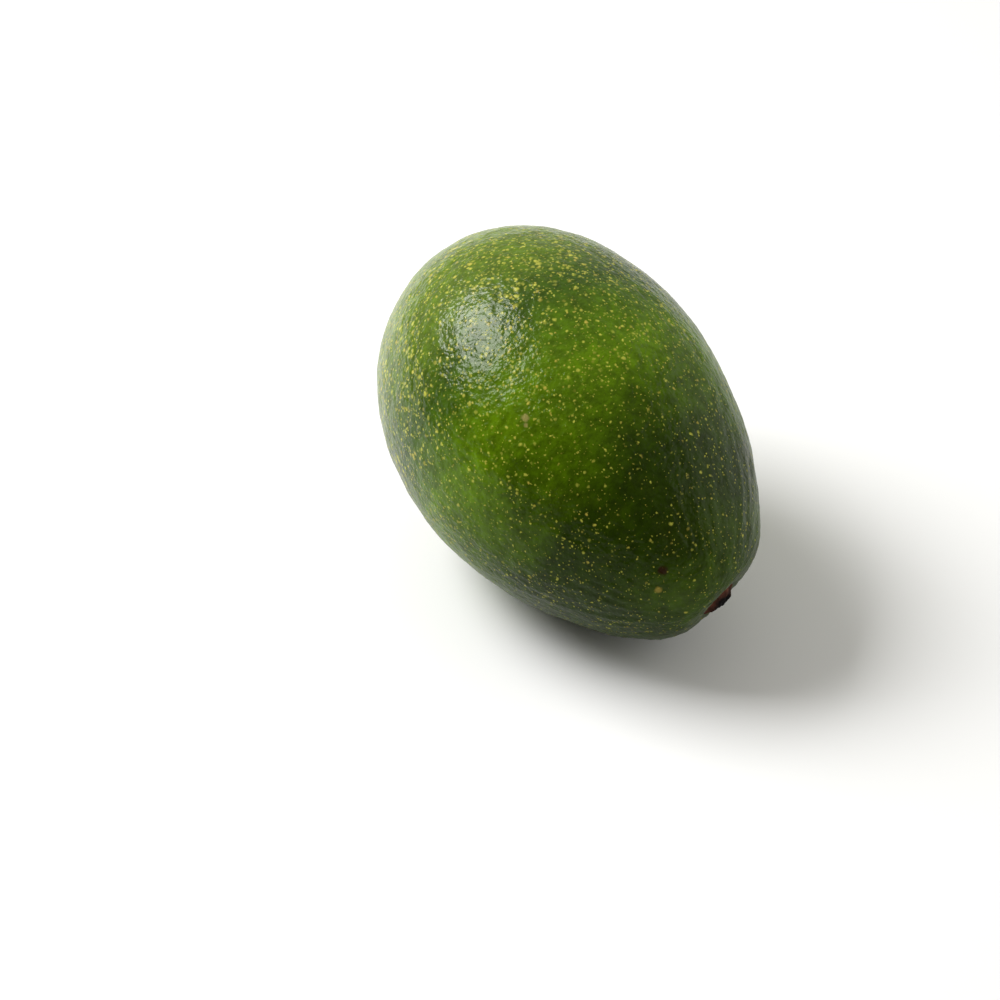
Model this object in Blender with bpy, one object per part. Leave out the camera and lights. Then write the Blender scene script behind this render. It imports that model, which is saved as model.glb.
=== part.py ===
"""A whole avocado lying on its side, with the stub of its stalk still on it. Metres, +Z up.

Seen from above, the long axis runs along X. The stem end points to +X and lies low, and the
blossom end points to -X and is raised. The origin is on the ground, under the middle of the
bounding box.
"""
import math

import bmesh
import bpy
from mathutils import Matrix, Vector
from mathutils.bvhtree import BVHTree

# Body of the fruit, in its own axes: X along the fruit towards the stem.
LENGTH = 0.115               # blossom pole to stem pole
RADIUS = 0.0368              # radius of the round section at the middle
TAPER = 0.115                # share of the radius lost at the stem end and gained at the other
BARREL = 0.035               # share of the radius gained at the middle and lost at both ends
BOW_SIDE = -0.0035           # sideways bow of the middle, so that the fruit is not a true round
BOW_UP = 0.0024              # upward bow of the middle
SKIN_LEVELS = 5              # subdivisions of the sphere that the skin is made from

# Seat of the stalk: a round hollow beside the stem pole.
SEAT_SIDE = 0.170            # sideways place of the seat on the unit sphere
SEAT_UP = -0.116             # upward place of the seat on the unit sphere
SEAT_DEPTH = 0.0053
SEAT_SPREAD = 0.0066         # distance from the centre at which the hollow is 60% of its depth

# Blossom scar: a low point on the pole away from the stem.
BLOSSOM_HEIGHT = 0.0007
BLOSSOM_SPREAD = 0.0035

# How it lies: the fruit is heavier towards the blossom end, and rests on a small flattened patch.
TILT = math.radians(15.1)    # blossom end up
BELLY_PLACE = -0.0180        # place of the swelling along the fruit, under the centre of mass
BELLY_HEIGHT = 0.0020
BELLY_SPREAD = 0.020
PATCH_DEPTH = 0.0010         # how far the underside is flattened where it meets the ground

# Stub of the stalk: a low, uneven button that fills the seat.
STUB_RADIUS = 0.0053
STUB_EDGE = 0.00185          # height of its edge over the floor of the seat
STUB_CROWN = 0.00130         # how much higher the middle stands than the edge
STUB_GAP = 0.00038           # clearance between the stub and the skin under it
STUB_SECTORS = 36

SKIN_COLOUR = (0.052, 0.105, 0.012, 1.0)
STUB_COLOUR = (0.060, 0.032, 0.018, 1.0)


def clear_scene():
    for old in list(bpy.data.objects):
        bpy.data.objects.remove(old, do_unlink=True)


def make_material(name, colour, roughness):
    """A plain surface of one colour."""
    material = bpy.data.materials.new(name)
    material.use_nodes = True
    surface = material.node_tree.nodes["Principled BSDF"]
    surface.inputs["Base Color"].default_value = colour
    surface.inputs["Roughness"].default_value = roughness
    material.diffuse_color = colour
    return material


def hill(place, centre, direction, height, spread):
    """Raise a point along a direction by a round hill about the centre. A minus height sinks it."""
    distance = (place - centre).length
    return place + direction * height * math.exp(-0.5 * (distance / spread) ** 2)


def plain_skin(unit):
    """Place a point of the unit sphere on the fruit, before the seat and the scar are made."""
    width = RADIUS * (1.0 - TAPER * unit.x + BARREL * (1.0 - 2.0 * unit.x ** 2))
    bow = 1.0 - unit.x ** 2
    return Vector((
        0.5 * LENGTH * unit.x,
        width * unit.y + BOW_SIDE * bow,
        width * unit.z + BOW_UP * bow,
    ))


def seat_frame():
    """Centre of the seat on the plain skin, with its outward direction."""
    step = 0.001
    corners = []
    for side, up in ((0.0, 0.0), (step, 0.0), (0.0, step)):
        y = SEAT_SIDE + side
        z = SEAT_UP + up
        corners.append(plain_skin(Vector((math.sqrt(1.0 - y * y - z * z), y, z))))
    centre = corners[0]
    outward = (corners[1] - centre).cross(corners[2] - centre).normalized()
    return centre, outward


def swell_belly(place, down):
    """Swell the underside below the centre of mass."""
    offset = place - Vector((BELLY_PLACE, 0.0, 0.0))
    depth = offset.dot(down)
    if depth <= 0.0:
        return place
    across = (offset - down * depth).length
    return place + down * BELLY_HEIGHT * math.exp(-0.5 * (across / BELLY_SPREAD) ** 2)


def make_fruit(seat_centre, seat_outward):
    """The skin of the fruit, as one closed surface in the fruit's own axes."""
    mesh = bmesh.new()
    bmesh.ops.create_icosphere(mesh, subdivisions=SKIN_LEVELS, radius=1.0)
    down = Vector((math.sin(TILT), 0.0, -math.cos(TILT)))
    blossom_pole = Vector((-0.5 * LENGTH, 0.0, 0.0))
    for vert in mesh.verts:
        place = plain_skin(vert.co.normalized())
        place = swell_belly(place, down)
        place = hill(place, seat_centre, seat_outward, -SEAT_DEPTH, SEAT_SPREAD)
        place = hill(place, blossom_pole, Vector((-1.0, 0.0, 0.0)), BLOSSOM_HEIGHT, BLOSSOM_SPREAD)
        vert.co = place
    return mesh


def edge_width(turn):
    """Uneven outline of the stub, as a share of its radius."""
    return 1.0 + 0.05 * math.sin(2.0 * turn + 0.7) + 0.035 * math.sin(5.0 * turn + 2.1)


def top_height(turn, share):
    """Uneven height of the stub's broken top, which is crowned in the middle."""
    ragged = 0.00022 * math.sin(3.0 * turn + 1.3) + 0.00016 * math.sin(7.0 * turn)
    crown = STUB_CROWN * (1.0 - share ** 2)
    return STUB_EDGE + crown + ragged * share


def make_stub(fruit, seat_centre, seat_outward):
    """The stub of the stalk: a thick uneven button that follows the hollow under it."""
    skin = BVHTree.FromBMesh(fruit)
    side = seat_outward.cross(Vector((0.0, 0.0, 1.0))).normalized()
    rise = seat_outward.cross(side)
    floor = seat_centre - seat_outward * SEAT_DEPTH
    mesh = bmesh.new()

    def ground(place):
        """Drop a point along the stub's axis to just over the skin."""
        above = place + seat_outward * 0.02
        hit = skin.ray_cast(above, -seat_outward)[0]
        return hit + seat_outward * STUB_GAP

    def ring(share, height):
        """One ring of points. With no height it lies on the skin under the stub."""
        row = []
        for sector in range(STUB_SECTORS):
            turn = 2.0 * math.pi * sector / STUB_SECTORS
            reach = STUB_RADIUS * share * edge_width(turn)
            place = floor + (side * math.cos(turn) + rise * math.sin(turn)) * reach
            place = ground(place) if height is None else place + seat_outward * height(turn)
            row.append(mesh.verts.new(place))
        return row

    rows = [ring(share, None) for share in (0.3, 0.6, 0.85, 0.97)]
    rows.append(ring(1.03, lambda turn: top_height(turn, 1.0) - 0.00025))
    for share in (0.99, 0.85, 0.65, 0.4, 0.2):
        rows.append(ring(share, lambda turn, share=share: top_height(turn, share)))
    for low, high in zip(rows, rows[1:]):
        for sector in range(STUB_SECTORS):
            after = (sector + 1) % STUB_SECTORS
            mesh.faces.new((low[sector], low[after], high[after], high[sector]))
    bottom = mesh.verts.new(ground(floor))
    top = mesh.verts.new(floor + seat_outward * top_height(0.0, 0.0))
    for sector in range(STUB_SECTORS):
        after = (sector + 1) % STUB_SECTORS
        mesh.faces.new((rows[0][after], rows[0][sector], bottom))
        mesh.faces.new((rows[-1][sector], rows[-1][after], top))
    bmesh.ops.recalc_face_normals(mesh, faces=mesh.faces)
    return mesh


def lay_down(meshes):
    """Turn the fruit to the way it lies, flatten the patch it lies on, and centre the whole."""
    tilt = Matrix.Rotation(TILT, 4, 'Y')
    for mesh in meshes:
        mesh.transform(tilt)
    places = [vert.co for mesh in meshes for vert in mesh.verts]
    low = [min(place[axis] for place in places) for axis in range(3)]
    high = [max(place[axis] for place in places) for axis in range(3)]
    shift = Vector((
        -0.5 * (low[0] + high[0]),
        -0.5 * (low[1] + high[1]),
        -low[2] - PATCH_DEPTH,
    ))
    for mesh in meshes:
        mesh.transform(Matrix.Translation(shift))
        for vert in mesh.verts:
            vert.co.z = max(vert.co.z, 0.0)


def add_object(name, mesh, material):
    """Turn a finished surface into a named object."""
    bmesh.ops.triangulate(mesh, faces=mesh.faces)
    data = bpy.data.meshes.new(name)
    mesh.to_mesh(data)
    mesh.free()
    for face in data.polygons:
        face.use_smooth = True
    data.materials.append(material)
    thing = bpy.data.objects.new(name, data)
    bpy.context.scene.collection.objects.link(thing)


clear_scene()
centre, outward = seat_frame()
fruit_mesh = make_fruit(centre, outward)
stub_mesh = make_stub(fruit_mesh, centre, outward)
lay_down((fruit_mesh, stub_mesh))
add_object("fruit", fruit_mesh, make_material("skin", SKIN_COLOUR, 0.35))
add_object("stem_stub", stub_mesh, make_material("stalk", STUB_COLOUR, 0.8))
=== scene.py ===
"""Looks for a whole avocado lying on its side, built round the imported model.

The skin and the stalk's stub are modelled again, finely, over the two plain solids of the model:
each is a closed round net of points drawn onto its solid, eased, and then raised and sunk by the
relief of the real surface. All sizes are in metres, and the fruit lies along X with its stem end
towards +X.
"""

import math

import bpy
import numpy as np
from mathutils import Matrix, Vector, noise
from mathutils.bvhtree import BVHTree


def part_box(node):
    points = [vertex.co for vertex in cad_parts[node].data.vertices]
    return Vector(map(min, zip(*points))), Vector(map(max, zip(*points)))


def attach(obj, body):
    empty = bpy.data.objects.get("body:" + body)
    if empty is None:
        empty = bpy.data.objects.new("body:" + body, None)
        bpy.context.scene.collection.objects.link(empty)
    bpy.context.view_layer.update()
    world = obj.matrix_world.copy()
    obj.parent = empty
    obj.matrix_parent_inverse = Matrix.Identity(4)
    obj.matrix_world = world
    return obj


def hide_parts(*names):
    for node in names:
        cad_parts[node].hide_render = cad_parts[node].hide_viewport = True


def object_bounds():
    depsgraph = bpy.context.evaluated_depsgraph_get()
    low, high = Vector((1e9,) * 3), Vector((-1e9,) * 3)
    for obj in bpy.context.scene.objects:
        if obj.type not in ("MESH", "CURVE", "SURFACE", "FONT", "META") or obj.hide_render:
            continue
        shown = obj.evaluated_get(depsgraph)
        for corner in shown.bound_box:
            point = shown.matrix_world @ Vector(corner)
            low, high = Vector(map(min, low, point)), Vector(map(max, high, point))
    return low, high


MM = 0.001

# How finely the pieces are modelled: squares along each side of a six-sided net.
SKIN_NET = 124               # points 0.5 to 0.7 mm apart, fine enough for pebbles of 1.8 mm
STUB_NET = 36
SKIN_EASING = 26             # rounds of smoothing that take away the plain solid's facets
STUB_EASING = 5

# Relief of the skin. Each pair is how far its bumps stand up and how wide they are, in mm.
SKIN_LUMPS = ((0.30, 19.0), (0.17, 6.0))
SKIN_GRAIN = (0.060, 2.6)
PEBBLES = (0.120, 1.8)
RIBS = (0.26, 1.7)
RIBBED_STRETCH = (20.0, 68.0)        # from the stem: full ribs up to the first, none past the last
LIP = (0.30, 6.4, 1.0)               # rim of skin round the stub: height, radius and spread
BUMP_SHORTENING = 0.62               # bumps are longer along the fruit than across it
FLAT_FOOT = (0.2, 3.0)               # heights over the table between which the relief comes in

# Relief of the torn stub, in the same pairs, and how the tear has worn it down, in mm.
STUB_CRUMBS = ((0.45, 2.1), (0.42, 1.1), (0.16, 0.5))
STUB_WEAR = 0.7
RIM_WEAR = 1.0
RAGGED_EDGE = 0.24                   # share of its own reach that the edge wanders in and out

# Camera: where it stands, seen from the point on the table that it looks at.
CAMERA_TURN = math.radians(56.81)
CAMERA_RISE = math.radians(38.60)
CAMERA_DISTANCE = 0.6417
CAMERA_LENS = 93.6
AIM_FROM_MIDDLE = (-0.0269, -0.0004)

# Lights: turn, rise, distance, width, height and power. The window stands high on the left, a
# little behind the fruit, and the card low on the right.
WINDOW = (math.radians(220.1), math.radians(46.5), 0.9, 0.56, 0.46, 11.6)
CARD = (CAMERA_TURN, math.radians(18), 0.7, 0.9, 0.6, 2.1)


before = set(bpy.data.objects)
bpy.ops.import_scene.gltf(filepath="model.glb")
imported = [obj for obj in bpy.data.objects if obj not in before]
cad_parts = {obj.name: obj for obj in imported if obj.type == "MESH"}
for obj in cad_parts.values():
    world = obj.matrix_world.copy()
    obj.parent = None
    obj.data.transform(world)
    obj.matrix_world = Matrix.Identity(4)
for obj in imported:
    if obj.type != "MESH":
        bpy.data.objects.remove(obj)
cad_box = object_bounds()


# Colour and nodes.

def colour(code):
    """Turn an sRGB hex colour to linear red, green, blue and a full alpha."""
    parts = [int(code[i:i + 2], 16) / 255.0 for i in (1, 3, 5)]
    linear = [c / 12.92 if c <= 0.04045 else ((c + 0.055) / 1.055) ** 2.4 for c in parts]
    return (*linear, 1.0)


def add(tree, kind, settings=None, **sockets):
    """Add a node, set its properties, and give each input a value or a link from an output.

    An input is named with underscores for spaces, or as _ and its number where names repeat.
    """
    node = tree.nodes.new(kind)
    for name, value in (settings or {}).items():
        setattr(node, name, value)
    for name, value in sockets.items():
        key = int(name[1:]) if name[1:].isdigit() else name.replace("_", " ")
        if isinstance(value, bpy.types.NodeSocket):
            tree.links.new(value, node.inputs[key])
        else:
            node.inputs[key].default_value = value
    return node


def new_material(name):
    """An empty node material with its output. Returns the material, its nodes and the output."""
    material = bpy.data.materials.new(name)
    material.use_nodes = True
    tree = material.node_tree
    tree.nodes.clear()
    return material, tree, add(tree, "ShaderNodeOutputMaterial")


# Closed nets over the solids.

def round_net(count):
    """Directions of a six-sided net on the unit sphere, with even angles, and its squares."""
    steps = np.tan(np.linspace(-math.pi / 4, math.pi / 4, count + 1))
    across, along = np.meshgrid(steps, steps, indexing="ij")
    ones = np.ones_like(across)
    sides = []
    for axis in range(3):
        for sign in (1.0, -1.0):
            side = [None, None, None]
            side[axis] = ones * sign
            side[(axis + 1) % 3] = across * sign
            side[(axis + 2) % 3] = along
            sides.append(np.stack(side, -1).reshape(-1, 3))
    points = np.concatenate(sides)
    keys = np.round(points * 1e6).astype(np.int64)
    _, first, same = np.unique(keys, axis=0, return_index=True, return_inverse=True)
    same = same.reshape(-1)
    grid = np.arange((count + 1) ** 2).reshape(count + 1, count + 1)
    square = np.stack([grid[:-1, :-1], grid[1:, :-1], grid[1:, 1:], grid[:-1, 1:]], -1)
    square = square.reshape(-1, 4)
    squares = np.concatenate([same[square + k * grid.size] for k in range(6)])
    points = points[first]
    return points / np.linalg.norm(points, axis=1, keepdims=True), squares


def draw_onto(node, directions):
    """Send each direction out from the middle of a solid, and return where it meets its surface."""
    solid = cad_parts[node]
    places = [v.co for v in solid.data.vertices]
    tree = BVHTree.FromPolygons(places, [p.vertices[:] for p in solid.data.polygons])
    low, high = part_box(node)
    middle = (Vector(low) + Vector(high)) / 2
    reach = (Vector(high) - Vector(low)).length
    found = []
    for out in map(Vector, directions):
        found.append(tree.ray_cast(middle + out * reach, -out)[0])
    return np.array(found)


def ease(points, squares, rounds):
    """Smooth a closed net by moving each point towards its neighbours, with little shrinking."""
    a = squares.reshape(-1)
    b = np.roll(squares, -1, axis=1).reshape(-1)
    near = np.bincount(a, minlength=len(points)) + np.bincount(b, minlength=len(points))
    for turn in range(rounds * 2):
        total = np.zeros_like(points)
        for axis in range(3):
            total[:, axis] += np.bincount(a, points[b, axis], len(points))
            total[:, axis] += np.bincount(b, points[a, axis], len(points))
        step = 0.6 if turn % 2 == 0 else -0.58
        points = points + step * (total / near[:, None] - points)
    return points


def outward(points, squares):
    """Outward direction of the net at each point."""
    one = points[squares[:, 2]] - points[squares[:, 0]]
    two = points[squares[:, 3]] - points[squares[:, 1]]
    face = np.cross(one, two)
    total = np.zeros_like(points)
    for corner in range(4):
        for axis in range(3):
            total[:, axis] += np.bincount(squares[:, corner], face[:, axis], len(points))
    return total / np.linalg.norm(total, axis=1, keepdims=True)


def fade(value, start, end):
    """Smooth step from 0 at start to 1 at end."""
    share = np.clip((value - start) / (end - start), 0.0, 1.0)
    return share * share * (3.0 - 2.0 * share)


def grain(points, size):
    """Smooth noise from -1 to 1 whose bumps are about this size across."""
    return np.array([noise.noise(Vector(p)) for p in points / size])


def pebbles(points, size):
    """Rounded pebbles of about this size: 1 on their tops and near 0 in the furrows."""
    nearest = np.array([noise.voronoi(Vector(p))[0][0] for p in points / size])
    return np.clip(1.0 - nearest ** 2 * 1.6, 0.0, 1.0)


def add_piece(name, points, squares, material):
    """Make a smooth-shaded object of a closed net, which rides on the fruit's one body."""
    mesh = bpy.data.meshes.new(name)
    mesh.from_pydata(points.tolist(), [], squares.tolist())
    mesh.update()
    mesh.shade_smooth()
    mesh.materials.append(material)
    piece = bpy.data.objects.new(name, mesh)
    bpy.context.scene.collection.objects.link(piece)
    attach(piece, "root")
    return piece


# Shape of the skin and the stub.

def axis_of(node, which):
    """A main direction of a solid, towards the stem: 0 is its longest and 2 its shortest."""
    places = np.array([v.co[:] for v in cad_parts[node].data.vertices])
    spread = places - places.mean(axis=0)
    axis = np.linalg.svd(spread, full_matrices=False)[2][which]
    return axis if axis[0] > 0 else -axis


AXIS = axis_of("fruit", 0)
FRUIT_MIDDLE = np.array((Vector(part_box("fruit")[0]) + Vector(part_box("fruit")[1])) / 2)
STEM = np.array((Vector(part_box("stem_stub")[0]) + Vector(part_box("stem_stub")[1])) / 2)


def lengthways(across, along):
    """Places to read grain at, so that it runs in narrow ribs along the fruit.

    They keep each point's turn about the long axis, on a drum, and little of its place along it.
    """
    drum, drawn_out = 24 * MM, 0.16
    side = np.cross(AXIS, (0.0, 0.0, 1.0))
    side /= np.linalg.norm(side)
    turn = np.arctan2(across @ np.cross(side, AXIS), across @ side)
    return np.stack([np.cos(turn) * drum, np.sin(turn) * drum, along * drawn_out], -1)


def make_skin(material):
    """The skin: lumps, pebbles and, near the stem, fine lengthwise ribs, all modelled."""
    directions, squares = round_net(SKIN_NET)
    points = draw_onto("fruit", directions)
    points = ease(points, squares, SKIN_EASING)
    normal = outward(points, squares)
    away = points - FRUIT_MIDDLE
    along = away @ AXIS
    across = away - along[:, None] * AXIS
    stretched = across + BUMP_SHORTENING * along[:, None] * AXIS
    from_stem = np.linalg.norm(points - STEM, axis=1)

    height = sum(rise * MM * grain(points, size * MM) for rise, size in SKIN_LUMPS)
    rise, size = SKIN_GRAIN
    height += rise * MM * grain(stretched, size * MM)
    rise, size = PEBBLES
    height += rise * MM * (pebbles(stretched, size * MM) - 0.5)
    rise, size = RIBS
    near_stem = 1.0 - fade(from_stem, *(MM * reach for reach in RIBBED_STRETCH))
    height += rise * MM * near_stem * grain(lengthways(across, along), size * MM)
    rise, radius, spread = LIP
    height += rise * MM * np.exp(-0.5 * ((from_stem - radius * MM) / (spread * MM)) ** 2)
    height *= fade(points[:, 2], *(MM * level for level in FLAT_FOOT))

    points = points + normal * height[:, None]
    points[:, 2] = np.maximum(points[:, 2], 0.0)
    piece = add_piece("skin_surface", points, squares, material)
    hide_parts("fruit")


def make_stub(material):
    """The stalk's stub: a dry, torn button with a crumbly top, worn thin at its ragged edge."""
    directions, squares = round_net(STUB_NET)
    points = draw_onto("stem_stub", directions)
    points = ease(points, squares, STUB_EASING)
    normal = outward(points, squares)
    out = axis_of("stem_stub", 2)
    away = points - STEM
    aside = away - (away @ out)[:, None] * out
    reach = np.linalg.norm(aside, axis=1)
    top = fade(away @ out, -0.9 * MM, 0.6 * MM)
    worn = MM * top * (STUB_WEAR + RIM_WEAR * fade(reach, 1.8 * MM, 5.6 * MM))
    height = sum(rise * MM * grain(points, size * MM) for rise, size in STUB_CRUMBS)
    edge = fade(reach, 2.5 * MM, 5.0 * MM) * grain(points, 3.2 * MM)
    points = points + normal * (height * (0.2 + 0.8 * top))[:, None]
    points = points - out * worn[:, None] + aside * (RAGGED_EDGE * edge + 0.04)[:, None]
    piece = add_piece("stem_stub_bark", points, squares, material)
    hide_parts("stem_stub")


# Materials.

# Skin: waxy green, yellower at the blossom end, with a darker band over the shoulder. The brighter
# green round the middle is partly painted light, where the window's light falls off, and the
# deepest green at the stem is partly painted shade, against the table's bounce light.
BLOSSOM_GREEN = colour("#5f7803")
SHOULDER_GREEN = colour("#304902")
# Brighter in part as painted light, where the window's light falls off round the middle.
MIDDLE_GREEN_AND_PAINTED_LIGHT = colour("#516f02")
# Darker in part as painted shade on the underside, against the table's bounce light.
STEM_GREEN_AND_PAINTED_SHADE = colour("#223301")
OLIVE = colour("#363c08")
SPECK = colour("#bbb94a")
SPECK_CORE = colour("#b59a44")
SCAR_TAN = colour("#b9a06a")
SCAB_BROWN = colour("#2a0f08")

# Marks of growth and handling: place as a share of the fruit's box, radius in mm, colour and
# strength.
BLEMISHES = (
    ((0.663, 0.194, 0.798), 1.0, SCAR_TAN, 0.4),
    ((0.648, 0.207, 0.806), 0.8, SCAR_TAN, 0.35),
    ((0.674, 0.184, 0.788), 0.6, SCAR_TAN, 0.35),
    ((0.958, 0.379, 0.461), 1.2, SCAB_BROWN, 0.9),
    ((0.961, 0.362, 0.403), 0.9, SPECK_CORE, 0.5),
    ((0.300, 0.900, 0.700), 1.5, SCAR_TAN, 0.7),
    ((0.420, 0.080, 0.350), 1.1, SCAB_BROWN, 0.8),
    ((0.060, 0.420, 0.620), 1.0, SCAB_BROWN, 0.7),
)

# Speckles, in layers: spacing of the places where one may grow and radius of a full one, in mm,
# and the share of those places that have one.
SPECK_LAYERS = (
    (0.85, 0.46, 0.82),
    (1.45, 0.76, 0.85),
    (2.10, 1.00, 0.45),
)


def share_to_stem(tree, place):
    """Share of the way from the blossom end to the start of the stem end."""
    half_length = 57.5 * MM
    relative = add(tree, "ShaderNodeVectorMath", {"operation": "SUBTRACT"},
                   _0=place, _1=tuple(FRUIT_MIDDLE)).outputs["Vector"]
    along = add(tree, "ShaderNodeVectorMath", {"operation": "DOT_PRODUCT"},
                _0=relative, _1=tuple(AXIS)).outputs["Value"]
    return add(tree, "ShaderNodeMapRange", {"interpolation_type": "SMOOTHSTEP"}, Value=along,
               From_Min=-half_length, From_Max=half_length * 0.7).outputs["Result"]


def ground_green_and_painted_shading(tree, place, stemward):
    """Green of the skin, in bands from end to end that drift, with olive patches and mottle.

    The bright middle band is partly painted light and the dark stem end partly painted shade.
    """
    drift = add(tree, "ShaderNodeTexNoise", Vector=place, Scale=1 / (22 * MM), Detail=3.0,
                Roughness=0.55).outputs["Fac"]
    drift = add(tree, "ShaderNodeMapRange", Value=drift, From_Min=0.35, From_Max=0.68,
                To_Min=-0.06, To_Max=0.06).outputs["Result"]
    depth = add(tree, "ShaderNodeMath", {"operation": "ADD"}, _0=stemward,
                _1=drift).outputs["Value"]
    ground = add(tree, "ShaderNodeValToRGB", Fac=depth)
    ramp = ground.color_ramp
    ramp.elements[0].color = BLOSSOM_GREEN
    # The stem end is darker in part as painted shade.
    ramp.elements[1].color = STEM_GREEN_AND_PAINTED_SHADE
    ramp.elements.new(0.48).color = SHOULDER_GREEN
    # The middle band is brighter in part as painted light.
    ramp.elements.new(0.75).color = MIDDLE_GREEN_AND_PAINTED_LIGHT
    patch = add(tree, "ShaderNodeTexNoise", Vector=place, Scale=1 / (9 * MM), Detail=4.0,
                Roughness=0.6).outputs["Fac"]
    patch = add(tree, "ShaderNodeMapRange", {"interpolation_type": "SMOOTHSTEP"}, Value=patch,
                From_Min=0.5, From_Max=0.74, To_Max=0.2).outputs["Result"]
    skin = add(tree, "ShaderNodeMix", {"data_type": "RGBA"}, _0=patch, _6=ground.outputs["Color"],
               _7=OLIVE).outputs[2]
    mottle = add(tree, "ShaderNodeTexNoise", Vector=place, Scale=1 / (2.6 * MM), Detail=3.0,
                 Roughness=0.6).outputs["Fac"]
    mottle = add(tree, "ShaderNodeMapRange", Value=mottle, From_Min=0.35, From_Max=0.7,
                 To_Min=0.72, To_Max=1.25).outputs["Result"]
    return add(tree, "ShaderNodeVectorMath", {"operation": "SCALE"}, _0=skin,
               Scale=mottle).outputs["Vector"]


def wandering(tree, place):
    """Places pushed about by under 1 mm, so that no dot or scar drawn at them is round."""
    wander = add(tree, "ShaderNodeTexNoise", Vector=place, Scale=1 / (1.2 * MM),
                 Detail=2.0).outputs["Color"]
    wander = add(tree, "ShaderNodeVectorMath", {"operation": "SUBTRACT"}, _0=wander,
                 _1=(0.5, 0.5, 0.5)).outputs["Vector"]
    return add(tree, "ShaderNodeVectorMath", {"operation": "MULTIPLY_ADD"}, _0=wander,
               _1=(0.95 * MM,) * 3, _2=place).outputs["Vector"]


def speckle_size(tree, place, stemward):
    """How full the speckles are: they grow in loose crowds, and small towards the stem."""
    crowd = add(tree, "ShaderNodeTexNoise", Vector=place, Scale=1 / (11 * MM),
                Detail=3.0).outputs["Fac"]
    crowd = add(tree, "ShaderNodeMapRange", Value=crowd, From_Min=0.36, From_Max=0.62,
                To_Min=0.76, To_Max=1.1).outputs["Result"]
    thin = add(tree, "ShaderNodeMapRange", Value=stemward, From_Min=0.45, To_Min=1.0,
               To_Max=0.58).outputs["Result"]
    return add(tree, "ShaderNodeMath", {"operation": "MULTIPLY"}, _0=crowd,
               _1=thin).outputs["Value"]


def speckled(tree, skin, wander, fullness):
    """Lay three sizes of corky dots over the green. Returns the colour and where the dots are."""
    relief = None
    for spacing, radius, share in SPECK_LAYERS:
        full = radius / spacing
        dots = add(tree, "ShaderNodeTexVoronoi", Vector=wander, Scale=1 / (spacing * MM))
        pick = add(tree, "ShaderNodeSeparateColor", Color=dots.outputs["Color"])
        size = add(tree, "ShaderNodeMapRange", Value=pick.outputs["Red"], From_Min=1 - share,
                   From_Max=1.0, To_Min=0.5 * full, To_Max=full).outputs["Result"]
        present = add(tree, "ShaderNodeMath", {"operation": "GREATER_THAN"},
                      _0=pick.outputs["Red"], _1=1 - share).outputs["Value"]
        size = add(tree, "ShaderNodeMath", {"operation": "MULTIPLY"}, _0=size,
                   _1=fullness).outputs["Value"]
        core = add(tree, "ShaderNodeMath", {"operation": "MULTIPLY"}, _0=size,
                   _1=0.2).outputs["Value"]
        inside = add(tree, "ShaderNodeMapRange", {"interpolation_type": "SMOOTHSTEP"},
                     Value=dots.outputs["Distance"], From_Min=size, From_Max=core)
        inside = add(tree, "ShaderNodeMath", {"operation": "MULTIPLY"},
                     _0=inside.outputs["Result"], _1=present).outputs["Value"]
        tint = add(tree, "ShaderNodeMapRange", Value=pick.outputs["Green"], From_Min=0.55,
                   From_Max=1.0, To_Max=0.7).outputs["Result"]
        speck = add(tree, "ShaderNodeMix", {"data_type": "RGBA"}, _0=tint, _6=SPECK,
                    _7=SPECK_CORE).outputs[2]
        bright = add(tree, "ShaderNodeMapRange", Value=pick.outputs["Blue"], To_Min=0.3,
                     To_Max=0.9).outputs["Result"]
        strength = add(tree, "ShaderNodeMath", {"operation": "MULTIPLY"}, _0=inside,
                       _1=bright).outputs["Value"]
        skin = add(tree, "ShaderNodeMix", {"data_type": "RGBA"}, _0=strength, _6=skin,
                   _7=speck).outputs[2]
        relief = inside if relief is None else add(
            tree, "ShaderNodeMath", {"operation": "MAXIMUM"}, _0=relief,
            _1=inside).outputs["Value"]
    return skin, relief


def blemished(tree, skin, wander):
    """Lay the old scars and dried scabs over the skin's colour."""
    low, high = (Vector(corner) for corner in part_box("fruit"))
    for share, radius, tint, strength in BLEMISHES:
        spot = [low[i] + share[i] * (high[i] - low[i]) for i in range(3)]
        reach = add(tree, "ShaderNodeVectorMath", {"operation": "DISTANCE"}, _0=wander,
                    _1=tuple(spot)).outputs["Value"]
        inside = add(tree, "ShaderNodeMapRange", {"interpolation_type": "SMOOTHSTEP"},
                     Value=reach, From_Min=radius * MM * 1.25, From_Max=radius * MM * 0.5,
                     To_Max=strength).outputs["Result"]
        skin = add(tree, "ShaderNodeMix", {"data_type": "RGBA"}, _0=inside, _6=skin,
                   _7=tint).outputs[2]
    return skin


def fine_bumps(tree, place, wander, relief):
    """Bumps under about 1 mm: small pebbles, grit, and the speckles, which stand a little proud."""
    fine = add(tree, "ShaderNodeTexVoronoi", {"feature": "SMOOTH_F1"}, Vector=wander,
               Scale=1 / (1.1 * MM), Smoothness=0.6).outputs["Distance"]
    grit = add(tree, "ShaderNodeTexNoise", Vector=place, Scale=1 / (0.6 * MM), Detail=1.0,
               Roughness=0.5).outputs["Fac"]
    mixed = add(tree, "ShaderNodeMath", {"operation": "MULTIPLY_ADD"}, _0=relief, _1=0.25,
                _2=grit).outputs["Value"]
    mixed = add(tree, "ShaderNodeMath", {"operation": "MULTIPLY_ADD"}, _0=fine, _1=-1.6,
                _2=mixed).outputs["Value"]
    return add(tree, "ShaderNodeBump", Strength=1.0, Distance=0.085 * MM,
               Height=mixed).outputs["Normal"]


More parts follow.
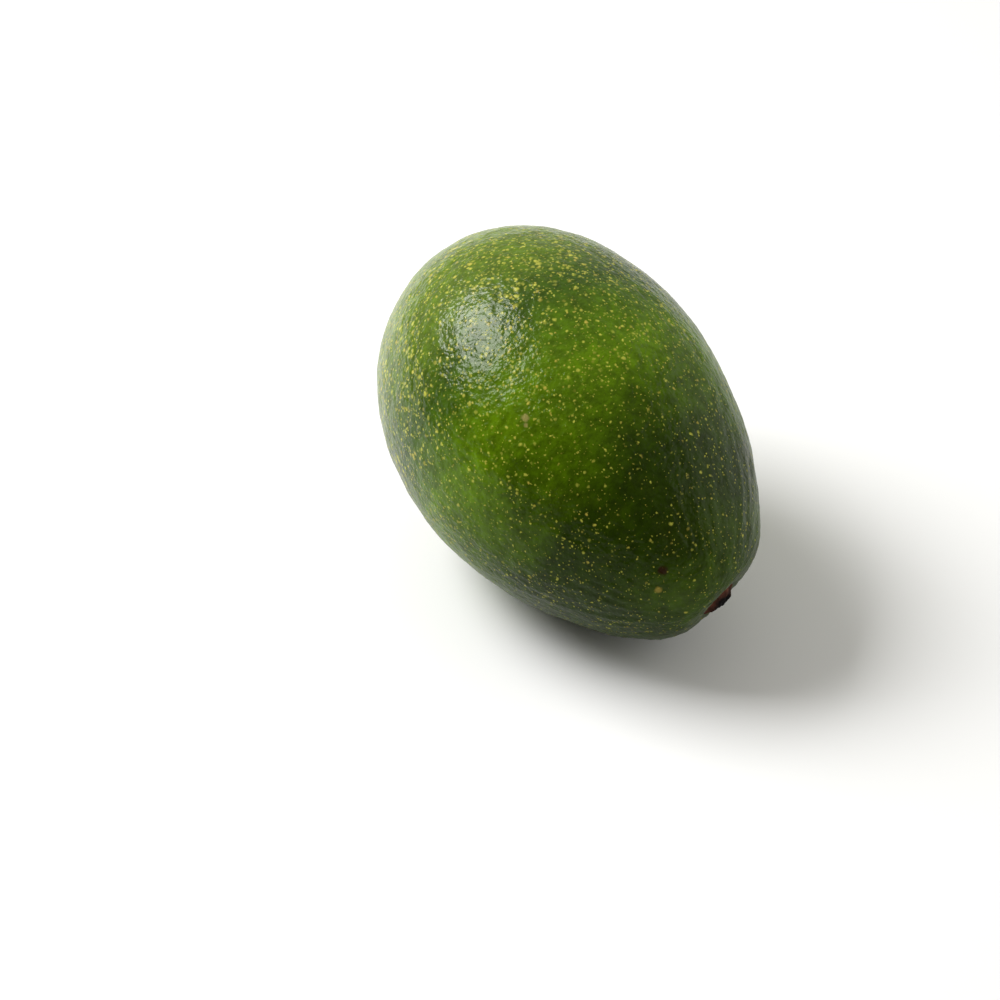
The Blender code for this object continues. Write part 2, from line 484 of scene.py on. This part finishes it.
def skin_material():
    """Waxed avocado skin.

    The skin is thin, leathery and closed, with a natural wax bloom polished by handling. To the
    eye that is a deep, strong green under a soft but clear gloss, broken up by the pebbles, with
    pale corky speckles where it has breathed. The wax is laid thinner towards the stem, so that
    the ribs there stay duller.
    """
    material, tree, output = new_material("avocado skin")
    place = add(tree, "ShaderNodeTexCoord").outputs["Object"]
    stemward = share_to_stem(tree, place)
    wander = wandering(tree, place)
    skin = ground_green_and_painted_shading(tree, place, stemward)
    skin, relief = speckled(tree, skin, wander, speckle_size(tree, place, stemward))
    skin = blemished(tree, skin, wander)
    bumps = fine_bumps(tree, place, wander, relief)
    rough = add(tree, "ShaderNodeMapRange", Value=relief, To_Min=0.36,
                To_Max=0.6).outputs["Result"]
    wax = add(tree, "ShaderNodeMapRange", Value=stemward, From_Min=0.35, From_Max=0.9,
              To_Min=0.64, To_Max=0.17).outputs["Result"]
    surface = add(tree, "ShaderNodeBsdfPrincipled", Base_Color=skin, Roughness=rough, IOR=1.45,
                  Normal=bumps, Specular_IOR_Level=0.08, Specular_Tint=colour("#c8e070"),
                  Coat_Weight=wax, Coat_Roughness=0.22, Coat_IOR=1.45, Coat_Normal=bumps)
    tree.links.new(surface.outputs[0], output.inputs[0])
    return material


def stub_material():
    """Dry torn stalk.

    A woody stalk that has dried and browned after it was cut: matt, almost black in the pores
    and towards its middle, and red-brown where its bark ends.
    """
    material, tree, output = new_material("dry avocado stalk")
    place = add(tree, "ShaderNodeTexCoord").outputs["Object"]
    relative = add(tree, "ShaderNodeVectorMath", {"operation": "DISTANCE"}, _0=place,
                   _1=tuple(STEM)).outputs["Value"]
    edge = add(tree, "ShaderNodeMapRange", Value=relative, From_Min=2.4 * MM,
               From_Max=5.0 * MM).outputs["Result"]
    crumbs = add(tree, "ShaderNodeTexNoise", Vector=place, Scale=1 / (1.2 * MM), Detail=5.0,
                 Roughness=0.65).outputs["Fac"]
    shade = add(tree, "ShaderNodeMath", {"operation": "MULTIPLY"}, _0=edge,
                _1=crumbs).outputs["Value"]
    ramp = add(tree, "ShaderNodeValToRGB", Fac=shade)
    ramp.color_ramp.elements[0].position = 0.08
    ramp.color_ramp.elements[0].color = colour("#080403")
    ramp.color_ramp.elements[1].position = 0.5
    ramp.color_ramp.elements[1].color = colour("#5a3426")
    bump = add(tree, "ShaderNodeBump", Strength=1.0, Distance=0.25 * MM, Height=crumbs)
    surface = add(tree, "ShaderNodeBsdfPrincipled", Base_Color=ramp.outputs["Color"],
                  Roughness=0.85, IOR=1.5, Normal=bump.outputs["Normal"],
                  Specular_IOR_Level=0.1)
    tree.links.new(surface.outputs[0], output.inputs[0])
    return material


def table_material():
    """White painted board: matt and even."""
    material, tree, output = new_material("white painted board")
    surface = add(tree, "ShaderNodeBsdfPrincipled", Base_Color=colour("#ededed"), Roughness=0.7,
                  IOR=1.45)
    tree.links.new(surface.outputs[0], output.inputs[0])
    return material


# Stage.

def direction(turn, rise):
    """Unit direction at a turn from +X and a rise over the table."""
    return Vector((
        math.cos(turn) * math.cos(rise),
        math.sin(turn) * math.cos(rise),
        math.sin(rise),
    ))


def add_softbox(name, turn, rise, distance, width, height, power):
    """A soft white rectangular light that faces the fruit and isn't seen itself."""
    lamp = bpy.data.lights.new(name, "AREA")
    lamp.shape = "RECTANGLE"
    lamp.size = width
    lamp.size_y = height
    lamp.energy = power
    light = bpy.data.objects.new(name, lamp)
    out = direction(turn, rise)
    light.location = Vector(FRUIT_MIDDLE) + out * distance
    light.rotation_euler = out.to_track_quat("Z", "Y").to_euler()
    light.visible_camera = False
    bpy.context.scene.collection.objects.link(light)


def add_table():
    """A wide pale table."""
    reach = 6.0
    mesh = bpy.data.meshes.new("table")
    corners = [(-reach, -reach, 0.0), (reach, -reach, 0.0), (reach, reach, 0.0),
               (-reach, reach, 0.0)]
    mesh.from_pydata(corners, [], [(0, 1, 2, 3)])
    mesh.materials.append(table_material())
    table = bpy.data.objects.new("table", mesh)
    bpy.context.scene.collection.objects.link(table)


def add_camera():
    """The camera looks down at a point of the table beside the fruit."""
    camera = bpy.data.cameras.new("camera")
    camera.lens = CAMERA_LENS
    camera.sensor_width = 36.0
    camera.clip_start = 0.01
    low, high = cad_box
    aim = Vector(((low[0] + high[0]) / 2 + AIM_FROM_MIDDLE[0],
                  (low[1] + high[1]) / 2 + AIM_FROM_MIDDLE[1], 0.0))
    back = direction(CAMERA_TURN - math.pi / 2, CAMERA_RISE)
    eye = bpy.data.objects.new("camera", camera)
    eye.location = aim + back * CAMERA_DISTANCE
    eye.rotation_euler = back.to_track_quat("Z", "Y").to_euler()
    bpy.context.scene.collection.objects.link(eye)
    bpy.context.scene.camera = eye


def add_surroundings():
    """A pale room: dark in front of the fruit, and brighter low behind it, to the right."""
    world = bpy.data.worlds.new("room")
    world.use_nodes = True
    tree = world.node_tree
    tree.nodes.clear()
    output = add(tree, "ShaderNodeOutputWorld")
    way = add(tree, "ShaderNodeTexCoord").outputs["Generated"]
    back = tuple(direction(CAMERA_TURN + math.radians(55), math.radians(10)))
    side = add(tree, "ShaderNodeVectorMath", {"operation": "DOT_PRODUCT"}, _0=way,
               _1=back).outputs["Value"]
    glow = add(tree, "ShaderNodeMapRange", Value=side, From_Min=-0.6, From_Max=0.9, To_Min=0.25,
               To_Max=0.55).outputs["Result"]
    dusk = add(tree, "ShaderNodeMapRange", {"interpolation_type": "SMOOTHSTEP"}, Value=side,
               From_Min=-0.95, From_Max=-0.1, To_Min=0.2, To_Max=1.1).outputs["Result"]
    glow = add(tree, "ShaderNodeMath", {"operation": "MULTIPLY"}, _0=glow,
               _1=dusk).outputs["Value"]
    room = add(tree, "ShaderNodeBackground", Color=colour("#f6f4ea"), Strength=glow)
    tree.links.new(room.outputs[0], output.inputs[0])
    bpy.context.scene.world = world


add_table()
make_skin(skin_material())
make_stub(stub_material())
add_softbox("window", *WINDOW)
add_softbox("white card", *CARD)
add_surroundings()
add_camera()
bpy.context.scene.view_settings.view_transform = "Standard"
